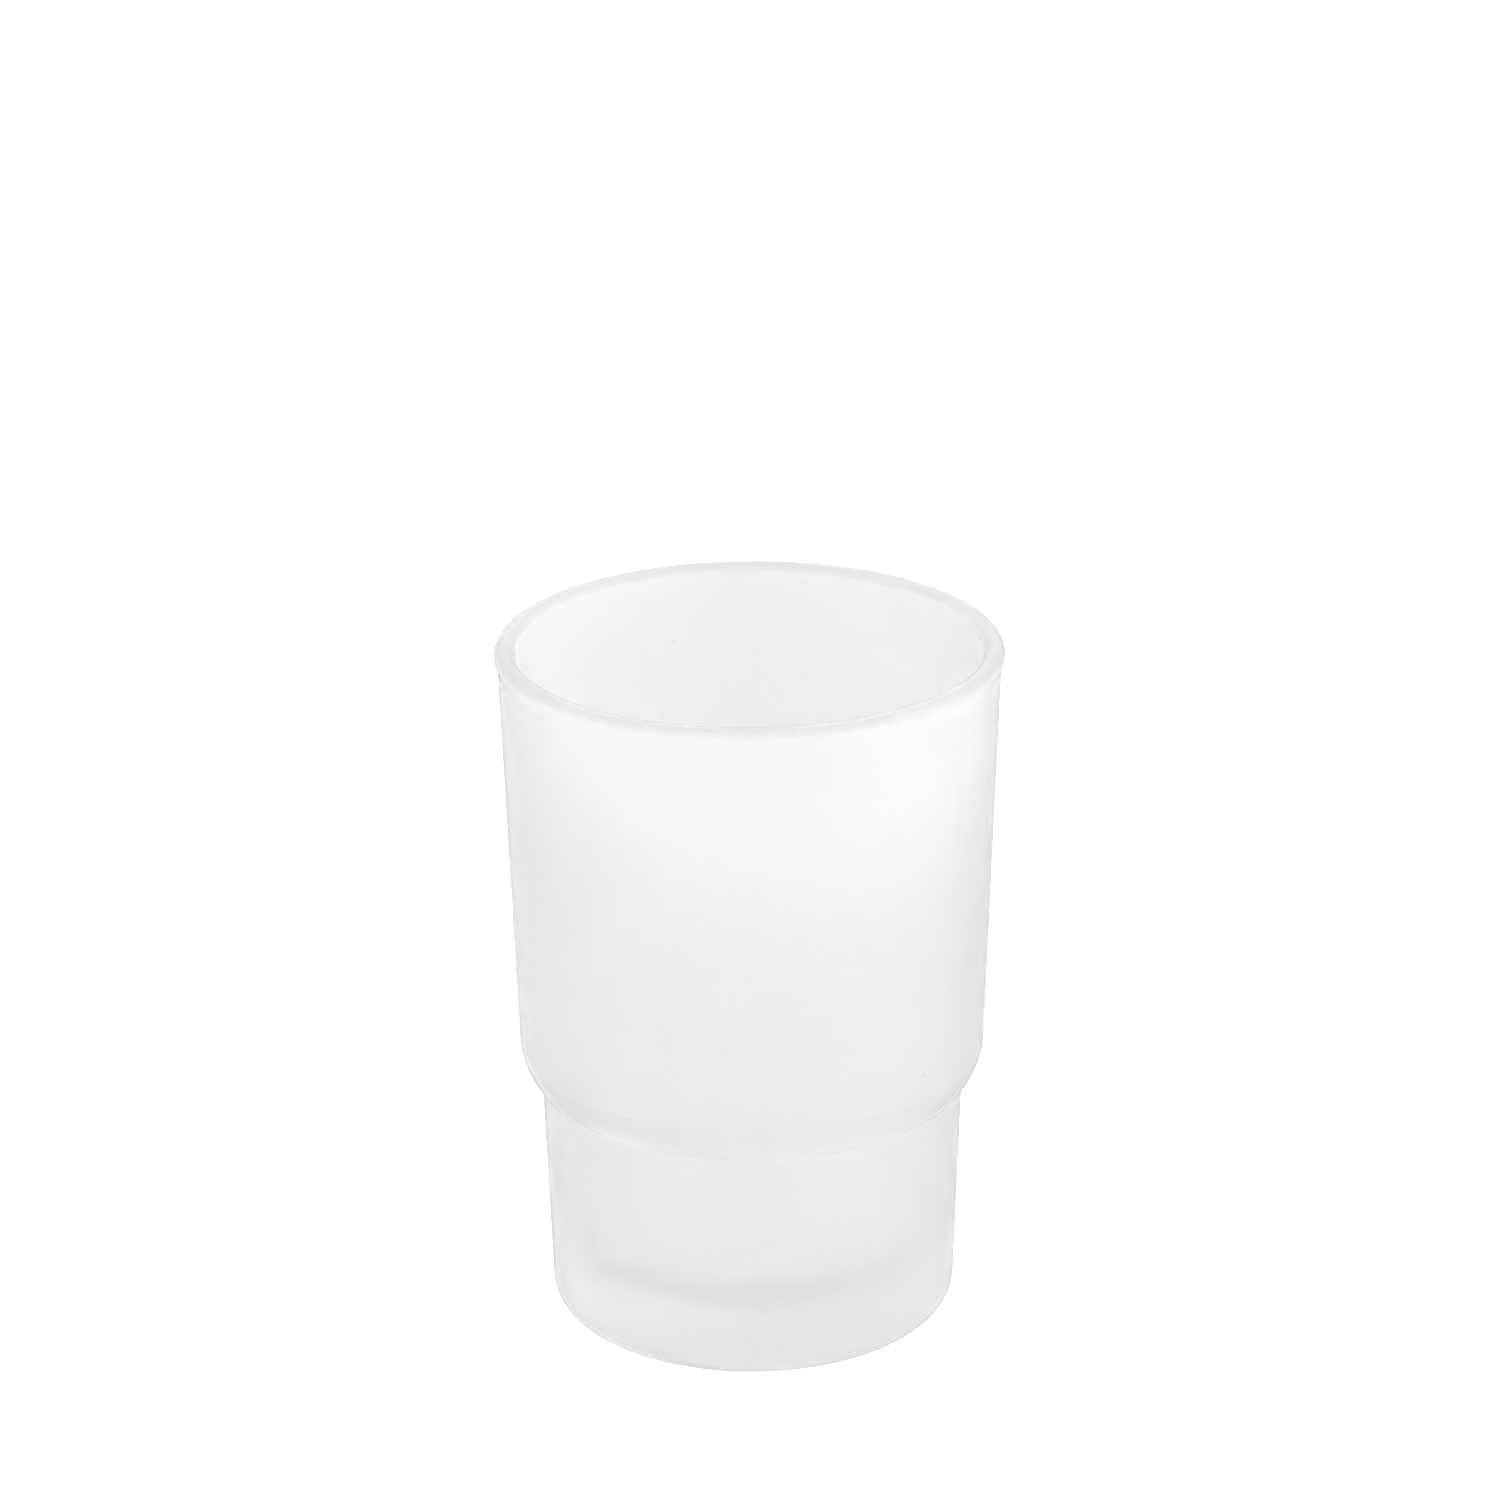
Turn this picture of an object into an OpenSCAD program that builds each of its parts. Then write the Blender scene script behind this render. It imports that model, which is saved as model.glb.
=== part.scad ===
// Bathroom tumbler: one pressed piece of satin-etched glass that stands on its foot,
// or hangs in a holder ring by its shoulder. Millimetres, +Z up, origin at the middle of the base.

/* [Bowl] */
// Height from the table to the top of the rim
height = 100; // [85:1:125]
// Thickness of the bowl's wall
bowl_wall = 2.4; // [1.8:0.1:3.2]
// Slope of every wall from upright, in degrees, which frees the glass from its mould
draft = 2.1; // [0.6:0.1:3]

/* [Rim] */
// How far the fire-polished lip swells outside the wall
lip_out = 0.4; // [0.2:0.05:0.7]
// How far the lip swells inside the wall
lip_in = 0.06; // [0.04:0.02:0.2]
// Radius of the hollow that runs from the lip down into the outside wall
lip_hollow = 7; // [3:0.5:10]

/* [Foot] */
// Outside diameter of the foot's wall, carried down to the table; the bowl stands out from it
foot_d = 57.3; // [48:0.1:66]
// Height of the inner corner where the shoulder meets the foot
foot_h = 34.6; // [28:0.2:42]
// Thickness of the foot's wall
foot_wall = 2.8; // [2.2:0.1:3.6]
// Radius of the foot's bottom edge
foot_round = 4.2; // [2.5:0.1:5.5]

/* [Shoulder] */
// How far the bowl's wall stands out from the foot's wall
shoulder_step = 2.78; // [2:0.02:3.6]
// Radius of the shoulder's outer curve
shoulder_round = 9.6; // [8:0.2:13]
// Radius in the outer corner under the shoulder
crease_round = 1; // [0.6:0.1:1.8]
// Radius of the inner edge at the neck
neck_round = 4; // [2:0.5:6]

/* [Base] */
// Thickness of the glass under the inner floor
floor_t = 9; // [6:0.5:14]
// Radius between the inner floor and the inner wall
floor_round = 5; // [3:0.5:8]
// Width of the flat ring that the tumbler stands on, inside the rounded edge
ring_w = 3.6; // [2:0.2:6]
// Depth of the hollow inside that ring
punt_depth = 0.8; // [0.4:0.1:1.4]

/* [Hidden] */
// Facets in a full circle
$fn = 144;
// Overlap where shapes are joined or cut
over = 0.5;
// Angle, in degrees, at which a rounding leaves the face beside it
ease = 3;
// Angle, in degrees, to which the shoulder's curve is drawn on inside the foot
tuck = 85;

foot_r = foot_d / 2;

// A place is also given as [along, out]: the way up the foot's wall, and the way out from it.
function place(along, out) = [
    foot_r + along * sin(draft) + out * cos(draft),
    along * cos(draft) - out * sin(draft)
];
function along_of(p) = (p[0] - foot_r) * sin(draft) + p[1] * cos(draft);
function out_of(p) = (p[0] - foot_r) * cos(draft) - p[1] * sin(draft);
// Radius, at height z, of a wall that stands out from the foot's wall
function wall_r(out, z) = foot_r + out / cos(draft) + z * tan(draft);
// Distance from a face to the centre of a rounding that meets it
function near(r) = r * cos(ease);
// Other side of a right triangle, from its long side
function leg(long, side) = sqrt(long * long - side * side);
// Point on the way from p to q, at a distance from p
function toward(p, q, distance) = p + (q - p) * distance / norm(q - p);

// The inside walls, as distances out from the foot's outside wall
bowl_in = shoulder_step - bowl_wall;
foot_in = -foot_wall;

// Shoulder: one centre for the outside curve and the inside curve
shoulder_in_round = shoulder_round - bowl_wall;
shoulder_out = shoulder_step - near(shoulder_round);
corner_along = foot_h / cos(draft);
shoulder_along = corner_along + leg(shoulder_round, shoulder_out);
shoulder_at = place(shoulder_along, shoulder_out);

// Outer corner under the shoulder
crease_out = near(crease_round);
crease_along = shoulder_along - leg(shoulder_round + crease_out, crease_out - shoulder_out);
crease_at = place(crease_along, crease_out);

// Inner edge at the neck
neck_out = foot_in + near(neck_round);
neck_reach = shoulder_in_round + near(neck_round);
neck_along = shoulder_along - leg(neck_reach, neck_out - shoulder_out);
neck_at = place(neck_along, neck_out);
neck_corner_along = shoulder_along - leg(shoulder_in_round, foot_in - shoulder_out);

// Lip
lip_r = (bowl_wall + lip_out + lip_in) / 2;
lip_z = height - lip_r;
lip_at = [wall_r(shoulder_step, lip_z) + lip_out - lip_r, lip_z];
hollow_out = shoulder_step + near(lip_hollow);
hollow_along = along_of(lip_at) - leg(lip_r + near(lip_hollow), hollow_out - out_of(lip_at));
hollow_at = place(hollow_along, hollow_out);

// Base
foot_round_at = [wall_r(-near(foot_round), near(foot_round)), near(foot_round)];
floor_round_z = floor_t + near(floor_round);
floor_round_at = [wall_r(foot_in - near(floor_round), floor_round_z), floor_round_z];
punt_r = foot_round_at[0] - ring_w;
punt_round = (punt_r * punt_r + punt_depth * punt_depth) / (2 * punt_depth);

// Everything from the axis out to one wall, between two heights
module inside_wall(out, z_low, z_high) {
    polygon([
        [0, z_low],
        [wall_r(out, z_low), z_low],
        [wall_r(out, z_high), z_high],
        [0, z_high]
    ]);
}

// What a rounding takes off the outer, lower corner of a section
module corner_waste(centre, radius) {
    reach = 2 * radius;
    difference() {
        polygon([
            centre,
            centre + [0, -reach],
            centre + [reach, -reach],
            centre + [reach * cos(draft), -reach * sin(draft)]
        ]);
        translate(centre) circle(r = radius);
    }
}

// What a rounding adds in an inner corner, from its centre to a point in each face and one
// behind the corner, drawn anticlockwise
module corner_fill(centre, radius, face, behind, other_face) {
    difference() {
        polygon([centre, other_face, behind, face]);
        translate(centre) circle(r = radius);
    }
}

// Outside of the foot
module foot_section() {
    difference() {
        inside_wall(0, 0, shoulder_at[1]);
        corner_waste(foot_round_at, foot_round);
    }
}

// Outside of the bowl and its shoulder
module bowl_section() {
    difference() {
        inside_wall(shoulder_step, shoulder_at[1] - shoulder_round * sin(tuck), lip_z);
        corner_waste(shoulder_at, shoulder_round);
    }
    corner_fill(
        crease_at,
        crease_round,
        place(crease_along, -over),
        place(corner_along, -over),
        toward(crease_at, shoulder_at, crease_round + over)
    );
}

// Space inside the bowl, down to the neck
module bowl_space() {
    difference() {
        inside_wall(bowl_in, shoulder_at[1] - shoulder_in_round * sin(tuck), height);
        corner_waste(shoulder_at, shoulder_in_round);
    }
    corner_fill(
        neck_at,
        neck_round,
        place(neck_along, foot_in - over),
        place(neck_corner_along, foot_in - over),
        toward(neck_at, shoulder_at, neck_round + over)
    );
}

// Space inside the foot
module foot_space() {
    difference() {
        inside_wall(foot_in, floor_t, shoulder_at[1]);
        corner_waste(floor_round_at, floor_round);
    }
}

// Shallow hollow under the base
module punt_space() {
    translate([0, punt_depth - punt_round]) circle(r = punt_round);
}

// Round lip, with the hollow that runs from it into the wall
module lip_section() {
    translate(lip_at) circle(r = lip_r);
    corner_fill(
        hollow_at,
        lip_hollow,
        place(hollow_along, shoulder_step - over),
        place(along_of(lip_at), shoulder_step - over),
        toward(hollow_at, lip_at, lip_hollow + over)
    );
}

module glass_tumbler() {
    color([0.93, 0.94, 0.91])
    rotate_extrude() {
        difference() {
            union() {
                foot_section();
                bowl_section();
            }
            bowl_space();
            foot_space();
            punt_space();
        }
        lip_section();
    }
}

glass_tumbler();
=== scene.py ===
"""Satin-etched glass tumbler, dressed and set in a plain white studio.

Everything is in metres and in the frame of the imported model: +Z runs up the tumbler's axis, the
origin is the middle of its base, and the camera looks along +Y.
"""
import logging
import math
from dataclasses import dataclass, field
from enum import Enum

import bpy
from mathutils import Matrix, Vector

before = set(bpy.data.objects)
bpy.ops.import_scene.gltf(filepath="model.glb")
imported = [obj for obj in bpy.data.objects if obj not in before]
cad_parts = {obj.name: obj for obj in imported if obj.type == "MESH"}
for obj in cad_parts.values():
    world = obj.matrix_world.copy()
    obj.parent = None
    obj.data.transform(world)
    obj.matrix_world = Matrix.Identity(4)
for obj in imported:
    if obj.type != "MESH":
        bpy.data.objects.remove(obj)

LOG = logging.getLogger("tumbler")
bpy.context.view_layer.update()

Colour = tuple[float, float, float]
Socket = bpy.types.NodeSocket

WHITE = (1.0, 1.0, 1.0, 1.0)


class Channel(Enum):
    """Kinds of socket that a node group offers."""

    VALUE = "NodeSocketFloat"
    VECTOR = "NodeSocketVector"


class Side(Enum):
    """Which side of a node group a socket is on."""

    IN = "INPUT"
    OUT = "OUTPUT"


SocketPlan = list[tuple[str, Side, Channel]]


class Rays(Enum):
    """Kinds of ray that the board and the world tell apart, as Light Path names them."""

    CAMERA = "Is Camera Ray"
    GLOSSY = "Is Glossy Ray"
    TRANSMISSION = "Is Transmission Ray"


class NodeDesk:
    """Small helper that lays nodes in a tree and wires them."""

    def __init__(self, tree: bpy.types.NodeTree) -> None:
        """Takes the tree to work in and empties it."""
        self.tree = tree
        tree.nodes.clear()

    def add(self, kind: str, **settings: object) -> bpy.types.Node:
        """Adds a node.

        Args:
            kind: Blender's name for the node's type.
            settings: properties of the node, set as given.

        Returns:
            The new node.
        """
        node = self.tree.nodes.new(kind)
        for name, value in settings.items():
            setattr(node, name, value)
        return node

    def wire(self, source: Socket, target: Socket) -> None:
        """Links an output to an input."""
        self.tree.links.new(source, target)

    def feed(self, target: Socket, value: object) -> None:
        """Wires a socket to an input, or sets the input where the value is a constant."""
        if isinstance(value, bpy.types.NodeSocket):
            self.wire(value, target)
        else:
            target.default_value = value

    def math(self, operation: str, *values: object) -> Socket:
        """Works out a number from others.

        Args:
            operation: what the Math node does.
            values: sockets or plain numbers.

        Returns:
            The socket that carries the result.
        """
        node = self.add("ShaderNodeMath", operation=operation)
        for slot, value in zip(node.inputs, values):
            self.feed(slot, value)
        return node.outputs[0]

    def ramp(
        self, value: Socket, start: object, stop: object, low: object = 0.0, high: object = 1.0
    ) -> Socket:
        """Eases a value from one level to another.

        Args:
            value: the socket to read.
            start: where the rise begins.
            stop: where the rise ends.
            low: the level before the rise.
            high: the level after the rise.

        Returns:
            The socket that carries the eased value.
        """
        node = self.add("ShaderNodeMapRange", interpolation_type="SMOOTHSTEP")
        levels = {"Value": value, "From Min": start, "From Max": stop, "To Min": low, "To Max": high}
        for name, level in levels.items():
            self.feed(node.inputs[name], level)
        return node.outputs["Result"]

    def blend(self, amount: object, first: object, second: object) -> Socket:
        """Mixes two colours by an amount from 0 to 1."""
        node = self.add("ShaderNodeMix", data_type="RGBA")
        for slot, value in zip((node.inputs[0], node.inputs[6], node.inputs[7]), (amount, first, second)):
            self.feed(slot, value)
        return node.outputs[2]

    def use(self, group: bpy.types.NodeTree, **values: object) -> bpy.types.Node:
        """Puts a node group to use.

        Args:
            group: the group's tree.
            values: its inputs by name, as sockets or plain numbers.

        Returns:
            The group's node.
        """
        node = self.add("ShaderNodeGroup", node_tree=group)
        for name, value in values.items():
            self.feed(node.inputs[name], value)
        return node


GroupParts = tuple[NodeDesk, bpy.types.Node, bpy.types.Node]


@dataclass(frozen=True)
class Layer:
    """One layer of the mottle: how much finer than its scale, its detail, and where it rises."""

    name: str
    finer: float
    detail: float
    start: float
    stop: float


class Effects:
    """The shared effects, each a node group that is built once and used by name."""

    mottle_layers = (
        Layer("Cloud", finer=1.0, detail=3.0, start=0.3, stop=0.7),
        Layer("Grain", finer=30.0, detail=1.0, start=0.2, stop=0.8),
    )
    core_rise = 0.003
    seed_middle_share = 0.5

    def __init__(self) -> None:
        """Starts with no group built."""
        self.built: dict[str, bpy.types.NodeTree] = {}

    def _start(self, name: str, sockets: SocketPlan) -> GroupParts:
        """Opens a new group.

        Args:
            name: the group's name.
            sockets: name, side and kind of each of its sockets.

        Returns:
            The desk to work on, the group's input node and its output node.
        """
        tree = bpy.data.node_groups.new(name, "ShaderNodeTree")
        for title, side, channel in sockets:
            tree.interface.new_socket(title, in_out=side.value, socket_type=channel.value)
        self.built[name] = tree
        desk = NodeDesk(tree)
        LOG.info("effect %s", name)
        return desk, desk.add("NodeGroupInput"), desk.add("NodeGroupOutput")

    def mottle(self) -> bpy.types.NodeTree:
        """Soft cloudiness with a fine grain in it, as an etching bath or a matt coat leaves it.

        Returns:
            A group with Vector and Scale inputs, and Cloud and Grain values from 0 to 1.
        """
        if "mottle" in self.built:
            return self.built["mottle"]
        desk, source, target = self._start("mottle", [
            ("Vector", Side.IN, Channel.VECTOR),
            ("Scale", Side.IN, Channel.VALUE),
            ("Cloud", Side.OUT, Channel.VALUE),
            ("Grain", Side.OUT, Channel.VALUE),
        ])
        for layer in self.mottle_layers:
            noise = desk.add("ShaderNodeTexNoise")
            noise.inputs["Detail"].default_value = layer.detail
            desk.wire(source.outputs["Vector"], noise.inputs["Vector"])
            desk.wire(desk.math("MULTIPLY", source.outputs["Scale"], layer.finer), noise.inputs["Scale"])
            desk.wire(desk.ramp(noise.outputs["Fac"], layer.start, layer.stop), target.inputs[layer.name])
        return self.built["mottle"]

    def belt(self) -> bpy.types.NodeTree:
        """A level belt round the tumbler with soft borders, between two radii.

        Returns:
            A group with Vector, Low, High, Soft, Core and Reach inputs, and a Mask that is 1 in
            the belt.
        """
        if "belt" in self.built:
            return self.built["belt"]
        desk, source, target = self._start("belt", [
            ("Vector", Side.IN, Channel.VECTOR),
            ("Low", Side.IN, Channel.VALUE),
            ("High", Side.IN, Channel.VALUE),
            ("Soft", Side.IN, Channel.VALUE),
            ("Core", Side.IN, Channel.VALUE),
            ("Reach", Side.IN, Channel.VALUE),
            ("Mask", Side.OUT, Channel.VALUE),
        ])
        parts = desk.add("ShaderNodeSeparateXYZ")
        desk.wire(source.outputs["Vector"], parts.inputs[0])
        names = ("Low", "High", "Soft", "Core", "Reach")
        low, high, soft, core, reach = (source.outputs[name] for name in names)
        rise = desk.ramp(parts.outputs["Z"], desk.math("SUBTRACT", low, soft), low)
        fall = desk.ramp(parts.outputs["Z"], high, desk.math("ADD", high, soft))
        across, along = (desk.math("MULTIPLY", parts.outputs[axis], parts.outputs[axis]) for axis in "XY")
        radius = desk.math("SQRT", desk.math("ADD", across, along))
        level = desk.math("MULTIPLY", rise, desk.math("SUBTRACT", 1.0, fall))
        outside = desk.ramp(radius, core, desk.math("ADD", core, self.core_rise))
        ring = desk.math("MULTIPLY", outside, desk.math("LESS_THAN", radius, reach))
        desk.wire(desk.math("MULTIPLY", level, ring), target.inputs["Mask"])
        return self.built["belt"]

    def seed(self) -> bpy.types.NodeTree:
        """One tiny seed, a speck that was caught in the glass.

        Returns:
            A group with Vector, Place and Radius inputs, and a Mask that is 1 on the speck.
        """
        if "seed" in self.built:
            return self.built["seed"]
        desk, source, target = self._start("seed", [
            ("Vector", Side.IN, Channel.VECTOR),
            ("Place", Side.IN, Channel.VECTOR),
            ("Radius", Side.IN, Channel.VALUE),
            ("Mask", Side.OUT, Channel.VALUE),
        ])
        apart = desk.add("ShaderNodeVectorMath", operation="DISTANCE")
        desk.wire(source.outputs["Vector"], apart.inputs[0])
        desk.wire(source.outputs["Place"], apart.inputs[1])
        rim = source.outputs["Radius"]
        middle = desk.math("MULTIPLY", rim, self.seed_middle_share)
        desk.wire(desk.ramp(apart.outputs["Value"], middle, rim, 1.0, 0.0), target.inputs["Mask"])
        return self.built["seed"]


EFFECTS = Effects()


@dataclass(frozen=True)
class Seed:
    """Place and size of one seed in the glass."""

    place: tuple[float, float, float]
    radius: float = 0.0004


@dataclass(frozen=True)
class Belt:
    """Levels of a belt round the tumbler, and the radii that it keeps between.

    As they are preset, the radii let the whole tumbler through.
    """

    low: float
    high: float
    soft: float
    core: float = -1.0
    reach: float = 1.0

    def mask(self, desk: NodeDesk, where: Socket) -> Socket:
        """Gives 1 in the belt and 0 elsewhere, for places on the tumbler."""
        levels = {"Low": self.low, "High": self.high, "Soft": self.soft}
        radii = {"Core": self.core, "Reach": self.reach}
        return desk.use(EFFECTS.belt(), Vector=where, **levels, **radii).outputs["Mask"]


@dataclass(frozen=True)
class EtchedGlass:
    """Finish of soda-lime glass whose whole skin was etched to satin.

    The glass is clear with a slight yellow-green cast, which grows with its thickness. The skin is
    very rough and a little cloudy, and coarsest on the lip and under the shoulder. The two greys,
    round the lip's slope and in the inner corner over the thick base, are painted shade that stands
    for darker lines in the photograph, and aren't a property of etched glass.
    """

    slot: str = "etched_glass"
    clear: Colour = (1.0, 1.0, 1.0)
    cloudy: Colour = (0.999, 0.999, 0.996)
    speck: Colour = (0.8, 0.81, 0.76)
    # Painted shade: a greyer band in the inner corner over the thick base.
    corner_painted_shade: Colour = (0.87, 0.88, 0.855)
    # Painted shade: a greyer ring round the lip's slope.
    slope_painted_shade: Colour = (0.92, 0.925, 0.92)
    cast: Colour = (0.986, 0.998, 0.89)
    depth: float = 10.0
    roughness: tuple[float, float] = (0.87, 0.89)
    coarse: float = 1.0
    mottle_scale: float = 60.0
    ior: float = 1.5
    lip: Belt = Belt(low=0.0965, high=0.11, soft=0.0008)
    shoulder: Belt = Belt(low=0.0345, high=0.0365, soft=0.001)
    # Belt where the painted shade round the lip's slope is laid.
    slope: Belt = Belt(low=0.0992, high=0.0998, soft=0.0003)
    # Belt where the painted shade in the inner corner over the thick base is laid.
    corner: Belt = Belt(low=0.0105, high=0.0115, soft=0.0055, core=0.0215, reach=0.0275)
    seeds: tuple[Seed, ...] = (
        Seed((-0.01086, 0.03041, 0.08902)),
        Seed((0.02379, -0.02295, 0.04433)),
        Seed((-0.01702, -0.02808, 0.04014)),
    )

    def material(self) -> bpy.types.Material:
        """Builds the material.

        Returns:
            The material, with its nodes wired.
        """
        made = bpy.data.materials.new(self.slot)
        made.use_nodes = True
        desk = NodeDesk(made.node_tree)
        out = desk.add("ShaderNodeOutputMaterial")
        where = desk.add("ShaderNodeTexCoord").outputs["Object"]
        mottle = desk.use(EFFECTS.mottle(), Vector=where, Scale=self.mottle_scale)
        glass = desk.add("ShaderNodeBsdfPrincipled")
        glass.inputs["Metallic"].default_value = 0.0
        glass.inputs["Transmission Weight"].default_value = 1.0
        glass.inputs["IOR"].default_value = self.ior
        colour = desk.blend(mottle.outputs["Cloud"], (*self.clear, 1.0), (*self.cloudy, 1.0))
        # Painted shade: greys the inner corner over the thick base.
        colour = desk.blend(self.corner.mask(desk, where), colour, (*self.corner_painted_shade, 1.0))
        # Painted shade: greys a ring round the lip's slope.
        colour = desk.blend(self.slope.mask(desk, where), colour, (*self.slope_painted_shade, 1.0))
        for seed in self.seeds:
            mark = desk.use(EFFECTS.seed(), Vector=where, Place=seed.place, Radius=seed.radius)
            colour = desk.blend(mark.outputs["Mask"], colour, (*self.speck, 1.0))
        desk.wire(colour, glass.inputs["Base Color"])
        desk.wire(self._roughness(desk, where, mottle.outputs["Grain"]), glass.inputs["Roughness"])
        desk.wire(glass.outputs["BSDF"], out.inputs["Surface"])
        cast = desk.add("ShaderNodeVolumeAbsorption")
        cast.inputs["Color"].default_value = (*self.cast, 1.0)
        cast.inputs["Density"].default_value = self.depth
        desk.wire(cast.outputs["Volume"], out.inputs["Volume"])
        return made

    def _roughness(self, desk: NodeDesk, where: Socket, grain: Socket) -> Socket:
        """Spreads the satin's roughness over the tumbler.

        Args:
            desk: the material's desk.
            where: the place on the tumbler.
            grain: the satin's grain.

        Returns:
            The socket that carries the roughness.
        """
        least, most = self.roughness
        satin = desk.math("MULTIPLY_ADD", grain, most - least, least)
        belts = desk.math("MAXIMUM", self.lip.mask(desk, where), self.shoulder.mask(desk, where))
        rest = desk.math("SUBTRACT", 1.0, belts)
        return desk.math("MULTIPLY_ADD", satin, rest, desk.math("MULTIPLY", belts, self.coarse))


@dataclass(frozen=True)
class PaleBoard:
    """Finish of the matt pale board that the tumbler stands on.

    The board glows so that the camera sees it as white. It glows less in reflections on the glass,
    less again for what comes through the glass, so that the far wall doesn't come out too bright,
    and not at all for other rays.
    """

    name: str = "pale_board"
    colour: Colour = (0.8, 0.8, 0.8)
    worn: Colour = (0.79, 0.79, 0.785)
    roughness: float = 0.9
    mottle_scale: float = 3.0
    shown: float = 0.7
    mirrored: float = 0.5
    through: float = 0.28

    def material(self) -> bpy.types.Material:
        """Builds the material.

        Returns:
            The material, with its nodes wired.
        """
        made = bpy.data.materials.new(self.name)
        made.use_nodes = True
        desk = NodeDesk(made.node_tree)
        out = desk.add("ShaderNodeOutputMaterial")
        where = desk.add("ShaderNodeTexCoord").outputs["Object"]
        mottle = desk.use(EFFECTS.mottle(), Vector=where, Scale=self.mottle_scale)
        board = desk.add("ShaderNodeBsdfPrincipled")
        board.inputs["Roughness"].default_value = self.roughness
        board.inputs["Emission Color"].default_value = WHITE
        colour = desk.blend(mottle.outputs["Cloud"], (*self.colour, 1.0), (*self.worn, 1.0))
        desk.wire(colour, board.inputs["Base Color"])
        rays = desk.add("ShaderNodeLightPath")
        camera, glossy, passed = (rays.outputs[kind.value] for kind in Rays)
        seen = desk.math("MULTIPLY", camera, self.shown)
        mirrored = desk.math("MULTIPLY", glossy, self.mirrored)
        not_passed = desk.math("SUBTRACT", 1.0, passed)
        direct = desk.math("MULTIPLY", desk.math("MAXIMUM", seen, mirrored), not_passed)
        glow = desk.math("MULTIPLY_ADD", passed, self.through, direct)
        desk.wire(glow, board.inputs["Emission Strength"])
        desk.wire(board.outputs["BSDF"], out.inputs["Surface"])
        return made


@dataclass
class GlassTumbler:
    """The tumbler itself: one piece of glass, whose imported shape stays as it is."""

    node: str = "glass_tumbler"
    finish: EtchedGlass = field(default_factory=EtchedGlass)
    seam: float = 1e-7

    def build(self) -> bpy.types.Object:
        """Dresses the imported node, and lets light run evenly round it and over its seams.

        Returns:
            The node's object.
        """
        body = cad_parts[self.node]
        skin = self.finish.material()
        for slot in body.material_slots:
            slot.material = skin
        seams = body.modifiers.new("closed_seams", "WELD")
        seams.merge_threshold = self.seam
        shading = body.modifiers.new("round_shading", "WEIGHTED_NORMAL")
        shading.mode = "FACE_AREA_WITH_ANGLE"
        shading.keep_sharp = False
        LOG.info("%s dressed in %s", body.name, self.finish.slot)
        return body


@dataclass(frozen=True)
class Softbox:
    """An oblong studio lamp with a soft face, placed by its direction as seen from the tumbler."""

    name: str
    turn: float
    height: float
    size: tuple[float, float]
    watts: float
    away: float = 3.0
    aim: tuple[float, float, float] = (0.0, 0.0, 0.05)

    def build(self) -> bpy.types.Object:
        """Makes the lamp and turns its face to the tumbler.

        Returns:
            The lamp's object.
        """
        data = bpy.data.lights.new(self.name, "AREA")
        data.shape = "RECTANGLE"
        data.size, data.size_y = self.size
        data.energy = self.watts
        turn, height = math.radians(self.turn), math.radians(self.height)
        level = math.cos(height)
        way = Vector((math.sin(turn) * level, math.cos(turn) * level, math.sin(height)))
        lamp = bpy.data.objects.new(self.name, data)
        lamp.location = Vector(self.aim) + way * self.away
        lamp.rotation_euler = (-way).to_track_quat("-Z", "Y").to_euler()
        bpy.context.scene.collection.objects.link(lamp)
        LOG.info("softbox %s", self.name)
        return lamp


@dataclass(frozen=True)
class Viewpoint:
    """The camera's place and lens, found from the photograph."""

    back: float = 0.7579
    up: float = 0.37385
    tilt: float = math.radians(20.936)
    roll: float = math.radians(0.378)
    lens: float = 139.41
    sensor: float = 36.0

    def build(self) -> bpy.types.Object:
        """Sets the camera up and makes it the scene's."""
        data = bpy.data.cameras.new("camera")
        data.lens = self.lens
        data.sensor_width = self.sensor
        camera = bpy.data.objects.new("camera", data)
        camera.matrix_world = (
            Matrix.Translation((0.0, -self.back, self.up))
            @ Matrix.Rotation(math.pi / 2 - self.tilt, 4, "X")
            @ Matrix.Rotation(-self.roll, 4, "Z")
        )
        bpy.context.scene.collection.objects.link(camera)
        bpy.context.scene.camera = camera
        return camera


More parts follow.
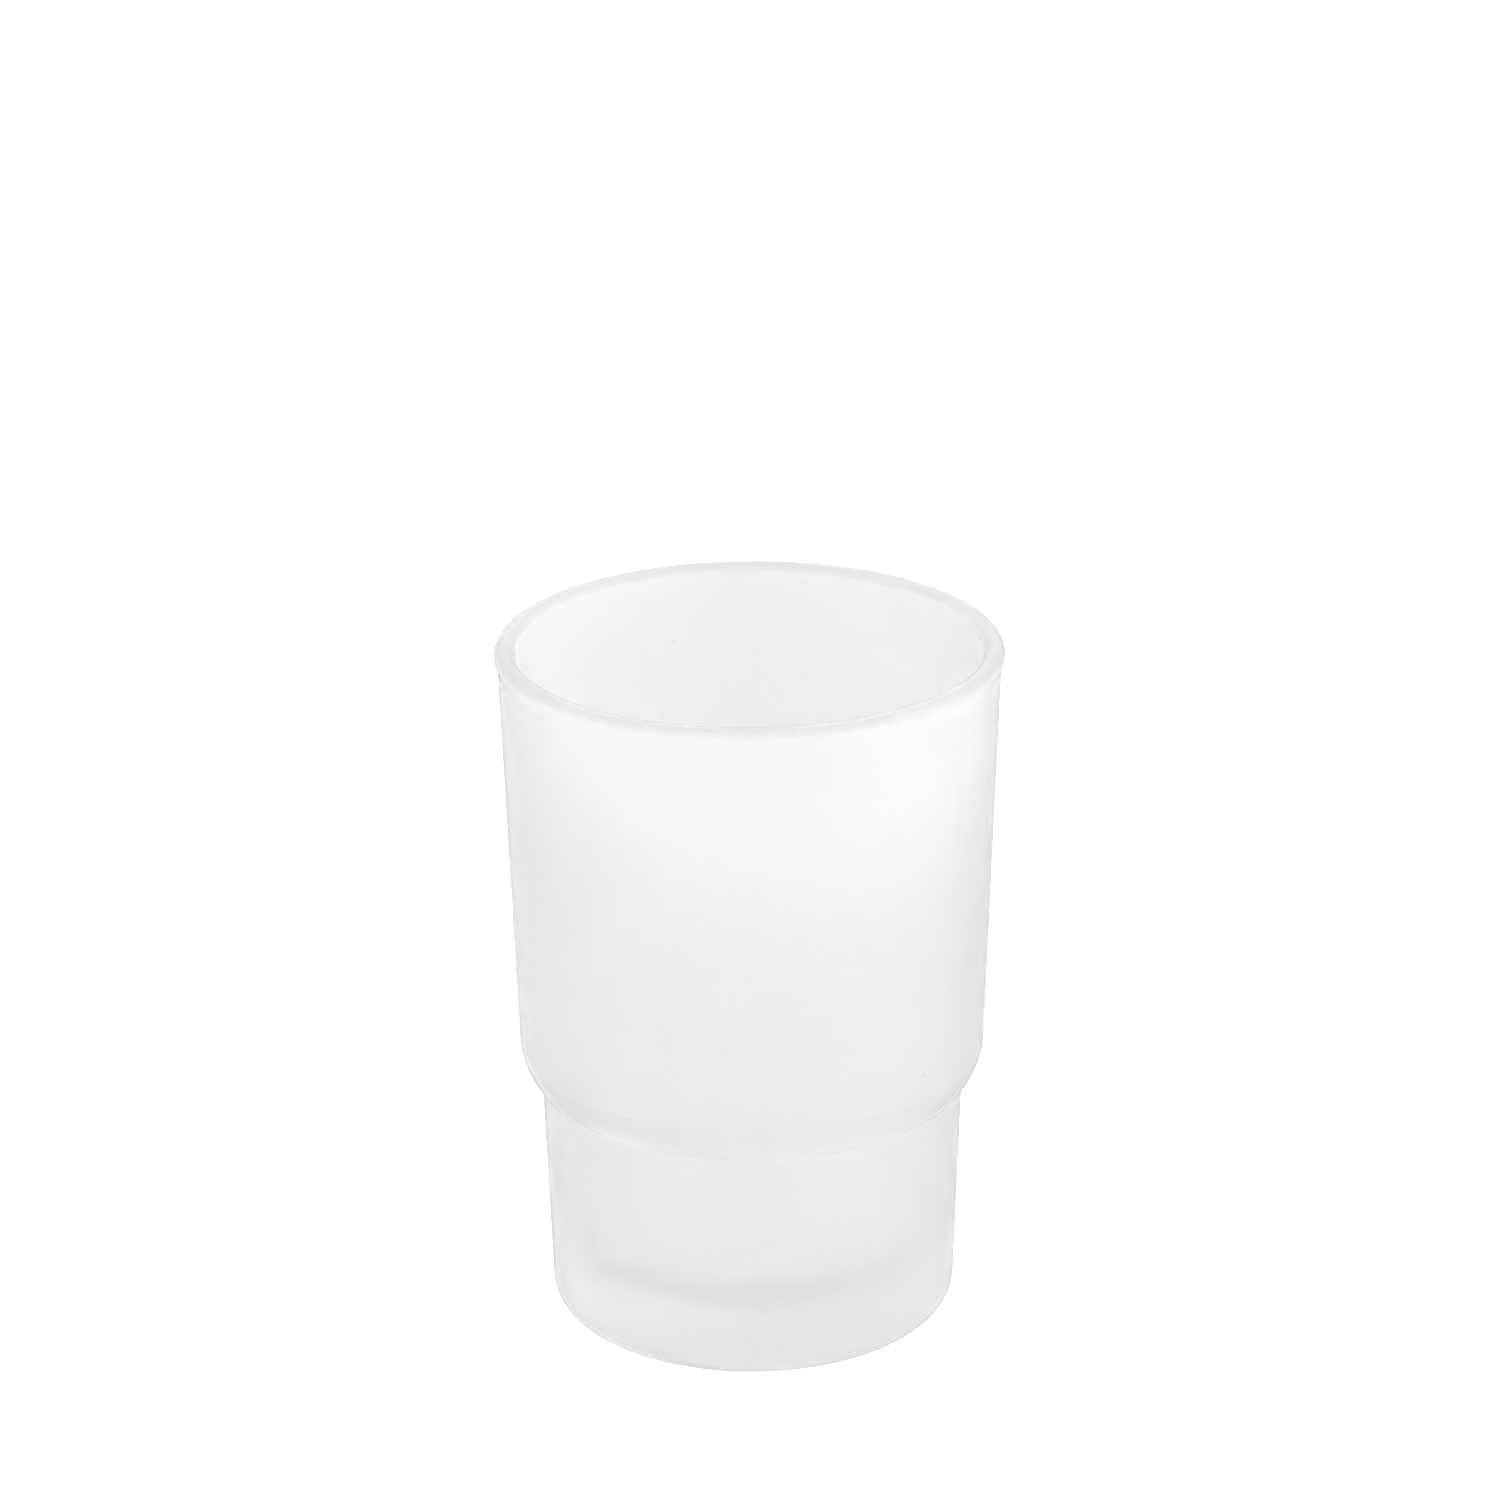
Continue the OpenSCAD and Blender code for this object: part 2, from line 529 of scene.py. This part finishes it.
@dataclass
class Studio:
    """Pale floor, even surround, softboxes and the camera."""

    floor_side: float = 12.0
    floor_gap: float = 0.00002
    surround: float = 0.34
    board: PaleBoard = field(default_factory=PaleBoard)
    viewpoint: Viewpoint = field(default_factory=Viewpoint)
    bounces: int = 32
    soft_bounces: int = 12
    lamps: tuple[Softbox, ...] = (
        Softbox("back_wide", 350.0, 25.0, (2.7, 1.2), 28.5),
        Softbox("back_key", 335.0, 25.0, (0.4, 0.4), 14.0),
        Softbox("left", 270.0, 25.0, (1.05, 0.9), 9.5),
        Softbox("right", 90.0, 12.0, (0.9, 1.2), 17.0),
    )

    def build_floor(self) -> bpy.types.Object:
        """Lays the floor just under the tumbler."""
        half = self.floor_side / 2
        corners = [(-half, -half, 0.0), (half, -half, 0.0), (half, half, 0.0), (-half, half, 0.0)]
        mesh = bpy.data.meshes.new("floor")
        mesh.from_pydata(corners, [], [(0, 1, 2, 3)])
        mesh.materials.append(self.board.material())
        floor = bpy.data.objects.new("floor", mesh)
        floor.location.z = -self.floor_gap
        bpy.context.scene.collection.objects.link(floor)
        return floor

    def build_surround(self) -> None:
        """Makes the world: plain light for the object, and white for the camera's rays."""
        world = bpy.data.worlds.new("surround")
        world.use_nodes = True
        bpy.context.scene.world = world
        desk = NodeDesk(world.node_tree)
        out = desk.add("ShaderNodeOutputWorld")
        sky = desk.add("ShaderNodeBackground")
        sky.inputs["Color"].default_value = WHITE
        camera = desk.add("ShaderNodeLightPath").outputs[Rays.CAMERA.value]
        strength = desk.math("MULTIPLY_ADD", camera, 1.0 - self.surround, self.surround)
        desk.wire(strength, sky.inputs["Strength"])
        desk.wire(sky.outputs[0], out.inputs["Surface"])

    def build(self) -> None:
        """Makes the whole set, and gives light enough bounces to get out of the rough glass."""
        self.viewpoint.build()
        self.build_floor()
        self.build_surround()
        for lamp in self.lamps:
            lamp.build()
        bpy.context.scene.view_settings.view_transform = "Standard"
        cycles = bpy.context.scene.cycles
        cycles.max_bounces = self.bounces
        cycles.transmission_bounces = self.bounces
        cycles.glossy_bounces = self.bounces
        cycles.diffuse_bounces = self.soft_bounces
        LOG.info("studio with %d softboxes", len(self.lamps))


def main() -> None:
    """Builds the studio and the tumbler."""
    logging.basicConfig(level=logging.INFO, format="%(name)s: %(message)s")
    Studio().build()
    GlassTumbler().build()


if __name__ == "__main__":
    main()
